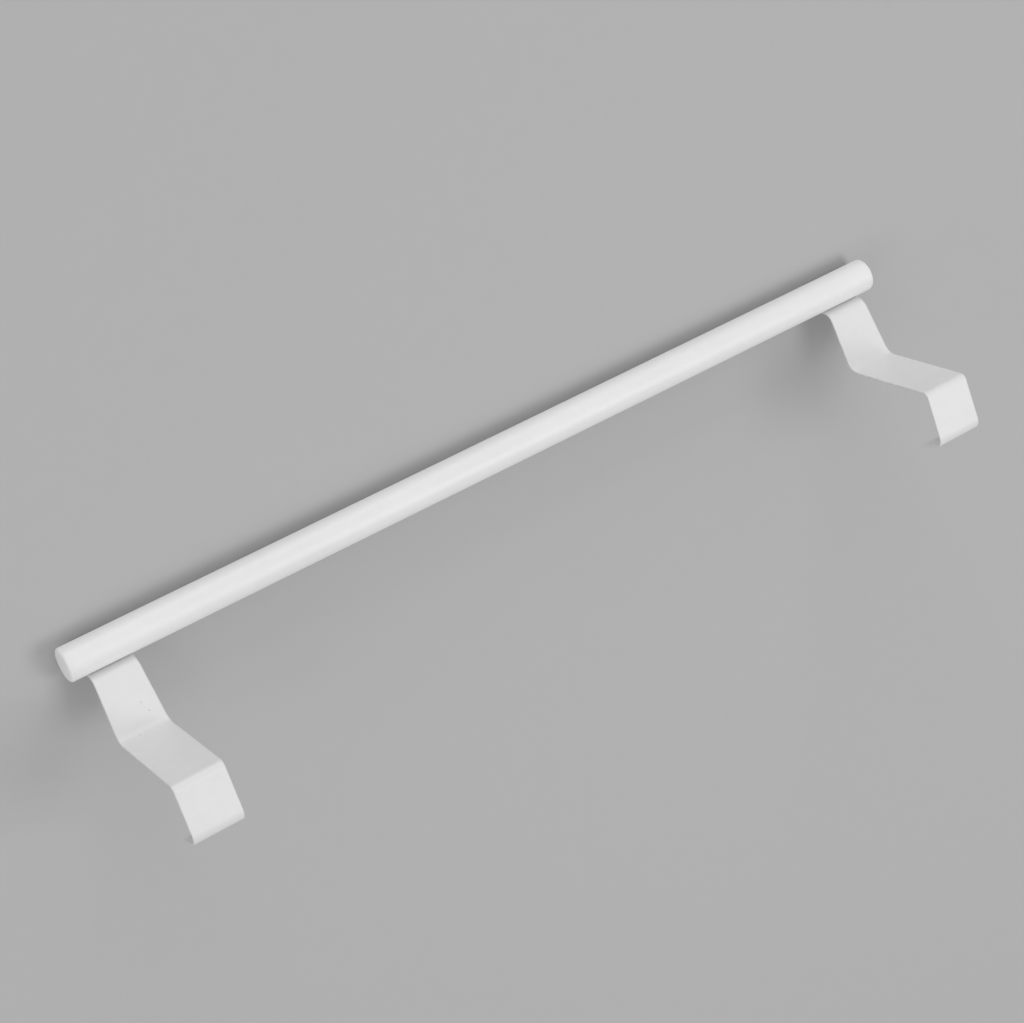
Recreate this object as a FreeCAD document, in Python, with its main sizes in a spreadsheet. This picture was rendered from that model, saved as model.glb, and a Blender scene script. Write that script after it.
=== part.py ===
import FreeCAD, Part
import math
import os

import Sketcher

# Over-door towel rack. A round steel bar, closed by a cap at each end, sits on the feet of two bent
# strip hooks. Each hook lies flat on the front of a door, goes over the door's top edge and ends in a
# short lip behind it. A screw from below holds each foot to a threaded insert in the bar's wall.
#
# Frame: the origin is on the door's top front edge, midway between the hooks. X runs along the bar,
# +Y points into the door and -Y into the room, and +Z is up. Lengths are millimetres, angles degrees.

SIZES = {
    # Bar and end caps
    "bar_length": 612.6,          # over both caps
    "bar_diameter": 22.2,
    "bar_wall": 1.0,
    "cap_face": 3.2,              # part of a cap that stands outside the tube
    "cap_edge_round": 2.2,
    "cap_spigot_length": 9.0,
    "cap_spigot_wall": 1.3,
    "cap_clearance": 0.05,        # radial, spigot in tube
    # Bent strip of a hook
    "hook_spacing": 560.0,        # centre to centre
    "strip_width": 33.4,
    "foot_width": 29.8,           # the arm narrows to this at the bar
    "sheet": 1.1,
    "plate_height": 77.5,         # corner to corner, on the plate's front face
    "top_length": 38.4,           # corner to corner, on the upper face
    "top_rise": 9.3,              # the top climbs this many degrees towards the lip
    "lip_length": 22.4,
    "lip_flare": 12.4,            # the lip leans this many degrees away from the door
    "arm_slope": 20.4,            # the arm falls this many degrees towards the bar
    "taper_start": 2.0,           # from the plate's front face to where the arm starts to narrow
    "bar_standoff": 51.3,         # door face to bar axis
    "shoulder_rise": 9.3,         # bar axis to the corner of arm and seat wall
    "seat_gap": 0.15,             # between the bar and the seat
    "foot_reach": 5.8,            # how far the foot passes the bar's axis
    "top_bend": 3.4,              # inside radii of the bends
    "lip_bend": 6.4,
    "arm_bend": 8.5,
    "shoulder_bend": 8.6,
    "seat_bend": 5.0,
    "lip_corner_round": 2.6,
    "foot_corner_round": 3.0,
    # Screws and threaded inserts
    "screw_diameter": 4.0,
    "screw_length": 9.5,          # under the head
    "screw_point": 0.5,           # chamfer of the tip
    "foot_hole_clearance": 0.3,   # radial, screw in the foot's hole
    "head_rim": 1.8,              # how far the head stands out past the shank
    "head_height": 2.2,
    "head_round": 1.5,
    "socket_width": 2.5,          # across the flats of the hexagon
    "socket_depth": 1.3,
    "thread_clearance": 0.05,     # radial, screw in insert
    "insert_wall": 0.95,
    "insert_length": 9.0,
    "insert_clearance": 0.05,     # radial, insert in the bar's wall
    "collar_rim": 1.2,            # the swelling that grips the inside of the tube's wall
    "collar_height": 2.2,
    "collar_clearance": 0.03,
}

SHEET_NAME = "Sizes"
SIDES = {"left": -1, "right": 1}

# Places that several sub-parts share, as formulas on the cells.
BAR_RADIUS = "Sizes.bar_diameter / 2"
BAR_Y = "-Sizes.bar_standoff"
SEAT_WALL_Y = "-Sizes.bar_standoff + Sizes.bar_diameter / 2 + Sizes.seat_gap"
FRONT_TOP_Z = "Sizes.sheet * (1 - sin(Sizes.top_rise * 1 deg)) / cos(Sizes.top_rise * 1 deg)"
SHOULDER_Z = (
    f"{FRONT_TOP_Z} - Sizes.plate_height"
    f" - (-Sizes.sheet - ({SEAT_WALL_Y})) * tan(Sizes.arm_slope * 1 deg)"
)
BAR_Z = f"{SHOULDER_Z} - Sizes.shoulder_rise"
FOOT_TOP_DROP = "Sizes.bar_diameter / 2 + Sizes.seat_gap"
SCREW_RADIUS = "Sizes.screw_diameter / 2"
HEAD_RADIUS = f"{SCREW_RADIUS} + Sizes.head_rim"
INSERT_BORE = f"{SCREW_RADIUS} + Sizes.thread_clearance"
INSERT_RADIUS = f"{INSERT_BORE} + Sizes.insert_wall"
COLLAR_RADIUS = f"{INSERT_RADIUS} + Sizes.collar_rim"

doc = FreeCAD.newDocument("towel_rack")


def add_sizes():
    """Puts the driving dimensions into the spreadsheet, one alias a row."""
    sheet = doc.addObject("Spreadsheet::Sheet", SHEET_NAME)
    for row, (alias, value) in enumerate(SIZES.items(), start=1):
        sheet.set(f"A{row}", alias)
        sheet.set(f"B{row}", str(value))
        sheet.setAlias(f"B{row}", alias)
    doc.recompute()
    return sheet


sizes = add_sizes()


def value_of(formula):
    """The number that a formula on the cells gives."""
    result = sizes.evalExpression(formula)
    return float(getattr(result, "Value", result))


def size(alias):
    """The number in one cell."""
    return float(sizes.get(alias))


def new_body(label):
    """An empty body whose label names its node."""
    body = doc.addObject("PartDesign::Body", label)
    body.Label = label
    return body


def origin_part(body, role):
    """One of the body's own origin planes or axes."""
    return next(item for item in body.Origin.OriginFeatures if item.Role == role)


def new_sketch(body, name, plane):
    """A sketch on one of the body's own origin planes."""
    sketch = body.newObject("Sketcher::SketchObject", name)
    sketch.AttachmentSupport = [(origin_part(body, plane), "")]
    sketch.MapMode = "FlatFace"
    return sketch


def add_outline(sketch, corners):
    """A closed outline of straight lines through the corners, joined end to end."""
    count = len(corners)
    points = [FreeCAD.Vector(x, y, 0) for x, y in corners]
    for index in range(count):
        sketch.addGeometry(Part.LineSegment(points[index], points[(index + 1) % count]), False)
    for index in range(count):
        sketch.addConstraint(Sketcher.Constraint("Coincident", index, 2, (index + 1) % count, 1))


def bind(sketch, name, formula, kind, *where):
    """A dimension of that kind whose value follows a formula on the cells."""
    value = value_of(formula)
    if kind == "Angle":
        value = math.radians(value)
    index = sketch.addConstraint(Sketcher.Constraint(kind, *where, value))
    sketch.renameConstraint(index, name)
    sketch.setExpression(f"Constraints.{name}", formula)


def place_corner(sketch, name, line, formulas):
    """Fixes the start of a line at coordinates that follow formulas; "0" puts it on the axis."""
    axes = (("x", "DistanceX", -2), ("y", "DistanceY", -1))
    for (letter, kind, axis), formula in zip(axes, formulas):
        if formula == "0":
            sketch.addConstraint(Sketcher.Constraint("PointOnObject", line, 1, axis))
            continue
        sign = "-" if value_of(formula) < 0 else ""
        ends = (line, 1, -1, 1) if sign else (-1, 1, line, 1)
        bind(sketch, f"{name}_{letter}", f"{sign}({formula})", kind, *ends)


def revolved_outline(body, name, plane, axis, corners):
    """A full turn of an outline whose corners are pairs of formulas."""
    sketch = new_sketch(body, f"{name}_outline", plane)
    add_outline(sketch, [tuple(value_of(part) for part in corner) for corner in corners])
    for line, corner in enumerate(corners):
        place_corner(sketch, f"corner{line}", line, corner)
    turn = body.newObject("PartDesign::Revolution", name)
    turn.Profile = sketch
    turn.ReferenceAxis = (origin_part(body, axis), [""])
    turn.Angle = 360
    doc.recompute()
    return turn


def round_edges(body, base, name, edges, radius):
    """A fillet on the named edges of a feature."""
    fillet = body.newObject("PartDesign::Fillet", name)
    fillet.Base = (base, edges)
    fillet.setExpression("Radius", radius)
    doc.recompute()
    return fillet


def edges_where(feature, test):
    """Names of the feature's edges that pass a test."""
    return [f"Edge{n}" for n, edge in enumerate(feature.Shape.Edges, start=1) if test(edge)]


def cut_with(body, before, name, sketch, depth=None, backwards=False, both_ways=False):
    """A pocket through everything, or to a depth, that must take material away."""
    pocket = body.newObject("PartDesign::Pocket", name)
    pocket.Profile = sketch
    pocket.Reversed = backwards
    if depth is None:
        pocket.Type = "ThroughAll"
    else:
        pocket.Type = "Length"
        pocket.setExpression("Length", depth)
    if both_ways:
        pocket.SideType = "Symmetric"
    doc.recompute()
    if not pocket.Shape.Volume < before.Shape.Volume - 1e-3:
        raise RuntimeError(f"{body.Label}: {name} takes nothing away")
    return pocket


def set_place(body, x="0", y="0", z="0"):
    """Ties the body's position to formulas."""
    for letter, formula in (("x", x), ("y", y), ("z", z)):
        if formula != "0":
            body.setExpression(f".Placement.Base.{letter}", formula)


def offset_corners(corners, distance):
    """The same open chain of lines moved to its left by a distance, with mitred corners."""
    points = [FreeCAD.Vector(a, b, 0) for a, b in corners]
    along = [(after - before).normalize() for before, after in zip(points, points[1:])]
    left = [FreeCAD.Vector(-line.y, line.x, 0) for line in along]
    moved = [points[0] + left[0] * distance]
    for point, one, two in zip(points[1:-1], left, left[1:]):
        moved.append(point + (one + two) * (distance / (1 + one.dot(two))))
    moved.append(points[-1] + left[-1] * distance)
    return [(point.x, point.y) for point in moved]


def strip_face_corners():
    """Corners of the hook's face chain in (y, z): lip tip, lip, top, plate, arm, seat wall and foot.

    This is the side of the sheet that looks into the room on the plate, up on the arm, and at the bar
    on the seat. Every bend is still a sharp corner here.
    """
    rise = math.radians(size("top_rise"))
    flare = math.radians(size("lip_flare"))
    front = -size("sheet")
    top_z = value_of(FRONT_TOP_Z)
    wall_y = value_of(SEAT_WALL_Y)
    shoulder_z = value_of(SHOULDER_Z)
    foot_z = value_of(f"{BAR_Z} - ({FOOT_TOP_DROP})")
    lip_top = (front + size("top_length") * math.cos(rise), top_z + size("top_length") * math.sin(rise))
    lip_tip = (
        lip_top[0] + size("lip_length") * math.sin(flare),
        lip_top[1] - size("lip_length") * math.cos(flare),
    )
    return [
        lip_tip,
        lip_top,
        (front, top_z),
        (front, top_z - size("plate_height")),
        (wall_y, shoulder_z),
        (wall_y, foot_z),
        (value_of(BAR_Y) - size("foot_reach"), foot_z),
    ]


# The face chain's lines are 0 to 5, the foot's end is 6, the back chain's lines are 7 to 12 from the
# foot to the lip, and the lip's end is 13.
FACE_LIP, FACE_TOP, FACE_PLATE, FACE_ARM, FACE_WALL, FACE_FOOT = range(6)
FOOT_END = 6
BACK_FOOT, BACK_WALL, BACK_ARM, BACK_PLATE, BACK_TOP, BACK_LIP = range(7, 13)
LIP_END = 13


def strip_sketch(body):
    """The edge-on outline of the bent strip, one sheet thick, with sharp corners."""
    face = strip_face_corners()
    back = offset_corners(face, size("sheet"))
    sketch = new_sketch(body, "strip_outline", "YZ_Plane")
    add_outline(sketch, face + back[::-1])
    rule = lambda *words: sketch.addConstraint(Sketcher.Constraint(*words))
    for line in (FACE_PLATE, FACE_WALL, BACK_PLATE, BACK_WALL, FOOT_END):
        rule("Vertical", line)
    for line in (FACE_FOOT, BACK_FOOT):
        rule("Horizontal", line)
    for one, other in ((FACE_TOP, BACK_TOP), (FACE_LIP, BACK_LIP), (FACE_ARM, BACK_ARM)):
        rule("Parallel", one, other)
    rule("Perpendicular", LIP_END, FACE_LIP)
    rule("Coincident", BACK_TOP, 1, -1, 1)
    bind(sketch, "plate_sheet", "Sizes.sheet", "DistanceX", FACE_PLATE, 1, -1, 1)
    bind(sketch, "top_sheet", "Sizes.sheet", "Distance", BACK_TOP, 1, FACE_TOP)
    bind(sketch, "lip_sheet", "Sizes.sheet", "Distance", BACK_LIP, 1, FACE_LIP)
    bind(sketch, "arm_sheet", "Sizes.sheet", "Distance", BACK_ARM, 1, FACE_ARM)
    bind(sketch, "wall_sheet", "Sizes.sheet", "DistanceX", FACE_WALL, 1, BACK_WALL, 2)
    bind(sketch, "foot_sheet", "Sizes.sheet", "DistanceY", BACK_FOOT, 1, FACE_FOOT, 2)
    bind(sketch, "plate_height", "Sizes.plate_height", "DistanceY", FACE_PLATE, 2, FACE_PLATE, 1)
    bind(sketch, "top_length", "Sizes.top_length", "Distance", FACE_TOP, 1, FACE_TOP, 2)
    bind(sketch, "lip_length", "Sizes.lip_length", "Distance", FACE_LIP, 1, FACE_LIP, 2)
    bind(sketch, "top_rise", "180 + Sizes.top_rise", "Angle", FACE_TOP)
    bind(sketch, "lip_lean", "90 + Sizes.lip_flare", "Angle", FACE_LIP)
    bind(sketch, "arm_slope", "180 + Sizes.arm_slope", "Angle", FACE_ARM)
    bind(sketch, "wall_place", f"-({SEAT_WALL_Y})", "DistanceX", FACE_WALL, 1, -1, 1)
    seat_height = f"Sizes.shoulder_rise + {FOOT_TOP_DROP}"
    bind(sketch, "seat_height", seat_height, "DistanceY", FACE_WALL, 2, FACE_WALL, 1)
    foot_length = f"{FOOT_TOP_DROP} + Sizes.foot_reach"
    bind(sketch, "foot_length", foot_length, "DistanceX", FACE_FOOT, 2, FACE_FOOT, 1)
    doc.recompute()
    return sketch


def bend_edge(sketch, line):
    """A test for the long edge that stands on the start of one of the sketch's lines."""
    corner = sketch.getPoint(line, 1)

    def test(edge):
        middle = edge.BoundBox.Center
        straight = edge.BoundBox.XLength > size("foot_width") / 2
        return straight and math.hypot(middle.y - corner.x, middle.z - corner.y) < 1e-4

    return test


def bend_strip(body, pad, sketch):
    """Rounds both sides of the sheet at each bend, so that it keeps its thickness."""
    bends = [
        # name, line that starts at the inside corner, line that starts at the outside corner, radius
        ("top_bend", BACK_TOP, FACE_PLATE),
        ("lip_bend", BACK_LIP, FACE_TOP),
        ("arm_bend", FACE_ARM, BACK_PLATE),
        ("shoulder_bend", BACK_ARM, FACE_WALL),
        ("seat_bend", FACE_FOOT, BACK_WALL),
    ]
    feature = pad
    for name, inside, outside in bends:
        for side, line, radius in (
            ("inside", inside, f"Sizes.{name}"),
            ("outside", outside, f"Sizes.{name} + Sizes.sheet"),
        ):
            edges = edges_where(feature, bend_edge(sketch, line))
            feature = round_edges(body, feature, f"{name}_{side}", edges, radius)
    return feature


def taper_sketch(body, side):
    """Seen from above, what is cut off one edge of the strip so that the arm narrows to the foot."""
    sign = SIDES[side]
    margin = "Sizes.strip_width"
    full = "Sizes.strip_width / 2"
    narrow = "Sizes.foot_width / 2"
    start = "-Sizes.sheet - Sizes.taper_start"
    seat = SEAT_WALL_Y
    end = f"{BAR_Y} - Sizes.foot_reach - Sizes.sheet"
    out = "" if sign > 0 else "-"
    corners = [
        (f"{out}({full})", start),
        (f"{out}({narrow})", seat),
        (f"{out}({narrow})", end),
        (f"{out}({margin})", end),
        (f"{out}({margin})", start),
    ]
    sketch = new_sketch(body, f"taper_{side}", "XY_Plane")
    add_outline(sketch, [tuple(value_of(part) for part in corner) for corner in corners])
    for line, corner in enumerate(corners):
        place_corner(sketch, f"corner{line}", line, corner)
    doc.recompute()
    return sketch


def add_circle(sketch, name, radius, x="0"):
    """A circle whose radius and place along the sketch's first axis follow formulas."""
    centre = FreeCAD.Vector(value_of(x), 0, 0)
    circle = sketch.addGeometry(Part.Circle(centre, FreeCAD.Vector(0, 0, 1), value_of(radius)), False)
    bind(sketch, f"{name}_radius", radius, "Radius", circle)
    if x == "0":
        sketch.addConstraint(Sketcher.Constraint("Coincident", circle, 3, -1, 1))
        return
    sketch.addConstraint(Sketcher.Constraint("PointOnObject", circle, 3, -1))
    sign = "-" if value_of(x) < 0 else ""
    ends = (circle, 3, -1, 1) if sign else (-1, 1, circle, 3)
    bind(sketch, f"{name}_x", f"{sign}({x})", "DistanceX", *ends)


def hook_bracket(side):
    """One bent strip: lip, top, plate, arm, seat wall and foot, with the hole for the bar's screw."""
    body = new_body(f"hook_bracket_{side}")
    outline = strip_sketch(body)
    pad = body.newObject("PartDesign::Pad", "strip")
    pad.Profile = outline
    pad.SideType = "Symmetric"
    pad.setExpression("Length", "Sizes.strip_width")
    doc.recompute()
    feature = bend_strip(body, pad, outline)
    for edge_side in SIDES:
        taper = taper_sketch(body, edge_side)
        feature = cut_with(body, feature, f"narrow_{edge_side}", taper, both_ways=True)

    hole_sketch = new_sketch(body, "screw_hole_outline", "XY_Plane")
    radius = f"{SCREW_RADIUS} + Sizes.foot_hole_clearance"
    hole = hole_sketch.addGeometry(
        Part.Circle(FreeCAD.Vector(0, value_of(BAR_Y), 0), FreeCAD.Vector(0, 0, 1), value_of(radius)), False
    )
    bind(hole_sketch, "hole_radius", radius, "Radius", hole)
    hole_sketch.addConstraint(Sketcher.Constraint("PointOnObject", hole, 3, -2))
    bind(hole_sketch, "hole_place", f"-({BAR_Y})", "DistanceY", hole, 3, -1, 1)
    doc.recompute()
    feature = cut_with(body, feature, "screw_hole", hole_sketch, both_ways=True)

    half_strip = size("strip_width") / 2
    half_foot = size("foot_width") / 2
    lip_end = outline.getPoint(LIP_END, 1)
    foot_end = outline.getPoint(FOOT_END, 1)

    def corner_edge(end, half_width):
        """A test for the short edges across the sheet at one end of the strip."""

        def test(edge):
            box = edge.BoundBox
            across = box.XLength < 1e-6 and abs(abs(box.Center.x) - half_width) < 1e-4
            near = math.hypot(box.Center.y - end.x, box.Center.z - end.y) < size("sheet")
            return across and near and abs(edge.Length - size("sheet")) < 1e-4

        return test

    lip_edges = edges_where(feature, corner_edge(lip_end, half_strip))
    feature = round_edges(body, feature, "lip_corners", lip_edges, "Sizes.lip_corner_round")
    foot_edges = edges_where(feature, corner_edge(foot_end, half_foot))
    round_edges(body, feature, "foot_corners", foot_edges, "Sizes.foot_corner_round")
    set_place(body, x=f"{SIDES[side]} * Sizes.hook_spacing / 2")
    return body


def rail_tube():
    """The bar's round tube, with a hole from below for each threaded insert."""
    body = new_body("rail_tube")
    section = new_sketch(body, "tube_section", "YZ_Plane")
    add_circle(section, "outer", BAR_RADIUS)
    add_circle(section, "inner", f"{BAR_RADIUS} - Sizes.bar_wall")
    pad = body.newObject("PartDesign::Pad", "tube")
    pad.Profile = section
    pad.SideType = "Symmetric"
    pad.setExpression("Length", "Sizes.bar_length - 2 * Sizes.cap_face")
    doc.recompute()
    holes = new_sketch(body, "insert_holes", "XY_Plane")
    for side, sign in SIDES.items():
        radius = f"{INSERT_RADIUS} + Sizes.insert_clearance"
        add_circle(holes, side, radius, x=f"{sign} * Sizes.hook_spacing / 2")
    doc.recompute()
    cut_with(body, pad, "insert_bores", holes)
    set_place(body, y=BAR_Y, z=BAR_Z)
    return body


def end_cap(side):
    """A cap whose spigot fills the tube's end and whose rounded face is flush with the tube."""
    body = new_body(f"end_cap_{side}")
    spigot = f"{BAR_RADIUS} - Sizes.bar_wall - Sizes.cap_clearance"
    hollow = f"{spigot} - Sizes.cap_spigot_wall"
    corners = [
        ("Sizes.cap_face", "0"),
        ("Sizes.cap_face", BAR_RADIUS),
        ("0", BAR_RADIUS),
        ("0", spigot),
        ("-Sizes.cap_spigot_length", spigot),
        ("-Sizes.cap_spigot_length", hollow),
        ("0", hollow),
        ("0", "0"),
    ]
    cap = revolved_outline(body, "cap", "XY_Plane", "X_Axis", corners)

    def rim(edge):
        """The outer rim of the cap's face."""
        at_face = abs(edge.BoundBox.XMax - size("cap_face")) < 1e-4 and edge.BoundBox.XLength < 1e-4
        return at_face and edge.BoundBox.YMax > value_of(BAR_RADIUS) - 1e-4

    round_edges(body, cap, "rim_round", edges_where(cap, rim), "Sizes.cap_edge_round")
    set_place(body, x=f"{SIDES[side]} * (Sizes.bar_length / 2 - Sizes.cap_face)", y=BAR_Y, z=BAR_Z)
    if SIDES[side] < 0:
        body.Placement.Rotation = FreeCAD.Rotation(FreeCAD.Vector(0, 0, 1), 180)
    return body


def seat_screw(side):
    """A button-head screw with a hexagon socket. Its origin is under the head, shank upwards."""
    body = new_body(f"seat_screw_{side}")
    corners = [
        ("0", "-Sizes.head_height"),
        (HEAD_RADIUS, "-Sizes.head_height"),
        (HEAD_RADIUS, "0"),
        (SCREW_RADIUS, "0"),
        (SCREW_RADIUS, "Sizes.screw_length - Sizes.screw_point"),
        (f"{SCREW_RADIUS} - Sizes.screw_point", "Sizes.screw_length"),
        ("0", "Sizes.screw_length"),
    ]
    screw = revolved_outline(body, "screw", "XZ_Plane", "Z_Axis", corners)

    def crown(edge):
        """The rim between the head's side and its face."""
        box = edge.BoundBox
        at_face = abs(box.ZMin + size("head_height")) < 1e-4 and box.ZLength < 1e-4
        return at_face and box.XMax > value_of(HEAD_RADIUS) - 1e-4

    rounded = round_edges(body, screw, "head_crown", edges_where(screw, crown), "Sizes.head_round")
    socket = new_sketch(body, "socket_outline", "XY_Plane")
    socket.setExpression(".AttachmentOffset.Base.z", "-Sizes.head_height")
    reach = size("socket_width") / math.sqrt(3)
    angles = [math.radians(60 * step) for step in range(6)]
    add_outline(socket, [(reach * math.cos(turn), reach * math.sin(turn)) for turn in angles])
    circle = socket.addGeometry(Part.Circle(FreeCAD.Vector(), FreeCAD.Vector(0, 0, 1), reach), True)
    for line in range(6):
        socket.addConstraint(Sketcher.Constraint("PointOnObject", line, 1, circle))
        if line:
            socket.addConstraint(Sketcher.Constraint("Equal", 0, line))
    socket.addConstraint(Sketcher.Constraint("Coincident", circle, 3, -1, 1))
    socket.addConstraint(Sketcher.Constraint("PointOnObject", 0, 1, -1))
    bind(socket, "corner_reach", "Sizes.socket_width / sqrt(3)", "Radius", circle)
    doc.recompute()
    cut_with(body, rounded, "socket", socket, depth="Sizes.socket_depth", backwards=True)
    under_foot = f"{BAR_Z} - ({FOOT_TOP_DROP}) - Sizes.sheet"
    set_place(body, x=f"{SIDES[side]} * Sizes.hook_spacing / 2", y=BAR_Y, z=under_foot)
    return body


def threaded_insert(side):
    """A sleeve in the bar's wall that takes the screw. Its origin is at the bar's lowest line."""
    body = new_body(f"threaded_insert_{side}")
    tube_inside = f"({BAR_RADIUS} - Sizes.bar_wall)"
    wall_rise = f"{BAR_RADIUS} - sqrt({tube_inside} ^ 2 - ({COLLAR_RADIUS}) ^ 2)"
    collar_foot = f"{wall_rise} + Sizes.collar_clearance"
    collar_top = f"{collar_foot} + Sizes.collar_height"
    corners = [
        (INSERT_BORE, "0"),
        (INSERT_RADIUS, "0"),
        (INSERT_RADIUS, collar_foot),
        (COLLAR_RADIUS, collar_foot),
        (COLLAR_RADIUS, collar_top),
        (INSERT_RADIUS, collar_top),
        (INSERT_RADIUS, "Sizes.insert_length"),
        (INSERT_BORE, "Sizes.insert_length"),
    ]
    revolved_outline(body, "insert", "XZ_Plane", "Z_Axis", corners)
    set_place(body, x=f"{SIDES[side]} * Sizes.hook_spacing / 2", y=BAR_Y, z=f"{BAR_Z} - {BAR_RADIUS}")
    return body


def write_parts(bodies):
    """Checks every object and shape, then writes one file a sub-part."""
    doc.recompute()
    for item in doc.Objects:
        if "Invalid" in item.State or "Error" in item.State:
            raise RuntimeError(f"{item.Label} is {item.State}")
    for body in bodies:
        if body.Shape.isNull() or not body.Shape.isValid() or len(body.Shape.Solids) != 1:
            raise RuntimeError(f"{body.Label} is not one valid solid")
    os.makedirs("parts", exist_ok=True)
    for body in bodies:
        body.Shape.exportStep(f"parts/{body.Label}.step")
        box = body.Shape.BoundBox
        print(
            f"{body.Label}: {body.Shape.Volume:.1f} mm3,"
            f" x {box.XMin:.2f} to {box.XMax:.2f},"
            f" y {box.YMin:.2f} to {box.YMax:.2f},"
            f" z {box.ZMin:.2f} to {box.ZMax:.2f}"
        )


def main():
    """Builds every sub-part and writes it."""
    bodies = [rail_tube()]
    for make in (end_cap, hook_bracket, seat_screw, threaded_insert):
        for side in SIDES:
            bodies.append(make(side))
    write_parts(bodies)


main()
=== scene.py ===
"""Over-door towel rack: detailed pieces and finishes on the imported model's frame.

Lengths are metres in the row frame. The origin is on the door's top front edge, midway between the
hooks. X runs along the bar, +Y points into the door, -Y into the room, and +Z is up.
"""

from __future__ import annotations

import logging
import math
from dataclasses import dataclass, field
from enum import Enum
from typing import Any, Callable, Iterable, Sequence

import bpy
import numpy as np
from mathutils import Matrix, Vector

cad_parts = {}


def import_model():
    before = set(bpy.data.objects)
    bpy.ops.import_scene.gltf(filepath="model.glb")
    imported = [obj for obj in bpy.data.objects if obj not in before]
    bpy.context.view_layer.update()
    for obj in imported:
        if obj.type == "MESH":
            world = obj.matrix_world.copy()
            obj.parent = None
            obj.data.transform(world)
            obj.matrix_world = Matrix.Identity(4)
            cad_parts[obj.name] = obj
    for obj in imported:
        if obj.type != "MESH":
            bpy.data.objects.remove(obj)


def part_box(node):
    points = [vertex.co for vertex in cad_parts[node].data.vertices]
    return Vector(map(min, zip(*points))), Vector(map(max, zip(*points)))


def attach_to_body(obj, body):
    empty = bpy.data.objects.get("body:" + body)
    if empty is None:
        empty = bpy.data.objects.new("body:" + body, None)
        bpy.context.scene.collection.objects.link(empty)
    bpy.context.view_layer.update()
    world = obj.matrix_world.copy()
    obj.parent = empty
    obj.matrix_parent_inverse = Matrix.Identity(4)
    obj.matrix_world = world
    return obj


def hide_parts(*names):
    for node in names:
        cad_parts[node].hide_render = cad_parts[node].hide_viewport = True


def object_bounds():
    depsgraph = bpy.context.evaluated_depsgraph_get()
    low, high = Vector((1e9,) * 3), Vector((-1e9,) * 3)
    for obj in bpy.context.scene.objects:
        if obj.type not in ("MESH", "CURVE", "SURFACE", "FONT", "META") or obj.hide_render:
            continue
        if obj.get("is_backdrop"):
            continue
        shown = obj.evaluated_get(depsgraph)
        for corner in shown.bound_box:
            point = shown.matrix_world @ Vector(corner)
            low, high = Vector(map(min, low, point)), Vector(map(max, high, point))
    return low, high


LOG = logging.getLogger("towel_rack")
MM = 0.001
TURN = 2.0 * math.pi

Array = np.ndarray


class Side(Enum):
    """The two hooks, as seen from the room. The value is the sign of X."""

    LEFT = -1
    RIGHT = 1

    @property
    def word(self) -> str:
        """The word that ends a node's name."""
        return self.name.lower()


# --- Shader graphs ---


class Wire:
    """A node's output socket, with arithmetic as operators."""

    def __init__(self, graph: "Graph", socket: bpy.types.NodeSocket) -> None:
        """Keeps the socket and the graph that new Math nodes go into.

        Args:
            graph: The graph that owns the socket.
            socket: An output socket.
        """
        self.graph = graph
        self.socket = socket

    def _math(self, operation: str, *values: "Wire | float") -> "Wire":
        """Adds one Math node.

        Args:
            operation: Blender's name for the operation.
            values: Its inputs, in order.

        Returns:
            The node's output.
        """
        inputs = dict(enumerate(values))
        return self.graph.add("ShaderNodeMath", {"operation": operation}, inputs)

    def __add__(self, other: "Wire | float") -> "Wire":
        """Self plus other."""
        return self._math("ADD", self, other)

    __radd__ = __add__

    def __sub__(self, other: "Wire | float") -> "Wire":
        """Self minus other."""
        return self._math("SUBTRACT", self, other)

    def __rsub__(self, other: float) -> "Wire":
        """Other minus self."""
        return self._math("SUBTRACT", other, self)

    def __mul__(self, other: "Wire | float") -> "Wire":
        """Self times other."""
        return self._math("MULTIPLY", self, other)

    __rmul__ = __mul__

    def smooth(self, low: float, high: float) -> "Wire":
        """A soft step from 0 at low to 1 at high.

        Args:
            low: Where the step starts.
            high: Where it ends. It may be the smaller of the two, and the step then falls.

        Returns:
            The step.
        """
        settings = {"interpolation_type": "SMOOTHSTEP"}
        if low < high:
            return self.graph.add("ShaderNodeMapRange", settings, {0: self, 1: low, 2: high})
        ends = {0: self, 1: high, 2: low, 3: 1.0, 4: 0.0}
        return self.graph.add("ShaderNodeMapRange", settings, ends)


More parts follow.
